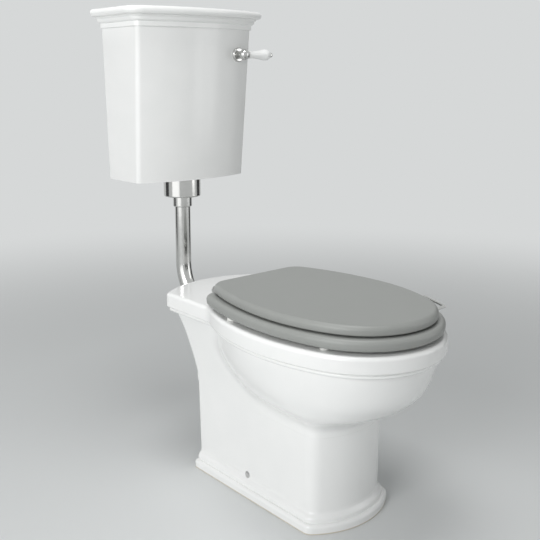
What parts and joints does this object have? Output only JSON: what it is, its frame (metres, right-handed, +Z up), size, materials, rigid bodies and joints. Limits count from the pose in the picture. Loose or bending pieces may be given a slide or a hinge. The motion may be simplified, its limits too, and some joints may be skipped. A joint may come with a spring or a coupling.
{
  "type": "low level toilet",
  "caption": "Floor-standing toilet with moulded rim and pedestal, lidded seat, bent flush pipe and a wall-hung cistern with crown-moulded lid and side lever.",
  "frame": {"origin": "centre of the pan's foot on the floor", "axes": "+Z up, -Y towards the user, +X to the right of someone facing the toilet, the side of the lever"},
  "size_m": [0.3963, 0.837, 1.036],
  "materials": {
    "ceramic": "gloss glaze",
    "chrome": "polished",
    "seat_paint": "satin paint",
    "rubber": "matt",
    "clear_white": "matt",
    "siphon_plastic": "moulded",
    "float_plastic": "moulded",
    "brass": "turned",
    "steel": "plated"
  },
  "bodies": {
    "fixture": {"pan_rim": "ceramic", "pan_bowl": "ceramic", "pan_pedestal": "ceramic", "pan_trap": "ceramic", "pan_plinth": "ceramic", "flush_cone": "rubber", "flush_pipe": "chrome", "pipe_nut": "chrome", "pipe_seal": "rubber", "pipe_collar": "chrome", "siphon_backnut": "siphon_plastic", "siphon_seal": "rubber", "siphon_body": "siphon_plastic", "cistern": "ceramic", "inlet_valve": "brass", "inlet_washer": "rubber", "inlet_backnut": "brass", "float_pin": "brass", "lever_escutcheon": "chrome", "lever_backnut": "siphon_plastic", "hinge_posts": "chrome", "hinge_bar": "chrome", "fixing_studs": "steel", "fixing_plugs": "rubber"},
    "seat": {"seat_ring": "seat_paint", "seat_hinge_arms": "chrome", "seat_screws": "steel", "ring_buffers": "clear_white", "seat_handle": "chrome"},
    "lid": {"seat_lid": "seat_paint", "lid_hinge_arms": "chrome", "lid_screws": "steel", "lid_buffers": "clear_white"},
    "lever": {"lever_hub": "chrome", "lever_handle": "ceramic", "lever_finial": "chrome", "lever_crank": "siphon_plastic"},
    "piston": {"siphon_plate": "siphon_plastic", "lift_rod": "siphon_plastic"},
    "float": {"float_rod": "brass", "float_ball": "float_plastic"},
    "plunger": {"valve_plunger": "brass"},
    "cover": {"cistern_lid": "ceramic"}
  },
  "joints": [
    {"name": "seat_lift", "type": "hinge", "parent": "fixture", "child": "seat", "pos_m": [0, 0.153, 0.432], "axis": [-1, 0, 0], "range_deg": [0, 95]},
    {"name": "lid_lift", "type": "hinge", "parent": "seat", "child": "lid", "pos_m": [0, 0.153, 0.432], "axis": [1, 0, 0], "range_deg": [-100, 0]},
    {"name": "lever_turn", "type": "hinge", "parent": "fixture", "child": "lever", "pos_m": [0.1075, 0.299, 0.9365], "axis": [0, 1, 0], "range_deg": [0, 33]},
    {"name": "piston_lift", "type": "slide", "parent": "fixture", "child": "piston", "axis": [0, 0, 1], "range_m": [0, 0.026]},
    {"name": "float_rise", "type": "hinge", "parent": "fixture", "child": "float", "pos_m": [0.084, 0.447, 0.876], "axis": [0, 1, 0], "range_deg": [0, 28]},
    {"name": "plunger_slide", "type": "slide", "parent": "fixture", "child": "plunger", "axis": [1, 0, 0], "range_m": [0, 0.0071]},
    {"name": "cover_lift", "type": "slide", "parent": "fixture", "child": "cover", "axis": [0, 0, 1], "range_m": [0, 0.08]}
  ],
  "couplings": [
    {"joint": "piston_lift", "follows": "lever_turn", "m_per_rad": 0.04487},
    {"joint": "plunger_slide", "follows": "float_rise", "m_per_rad": 0.01428}
  ]
}
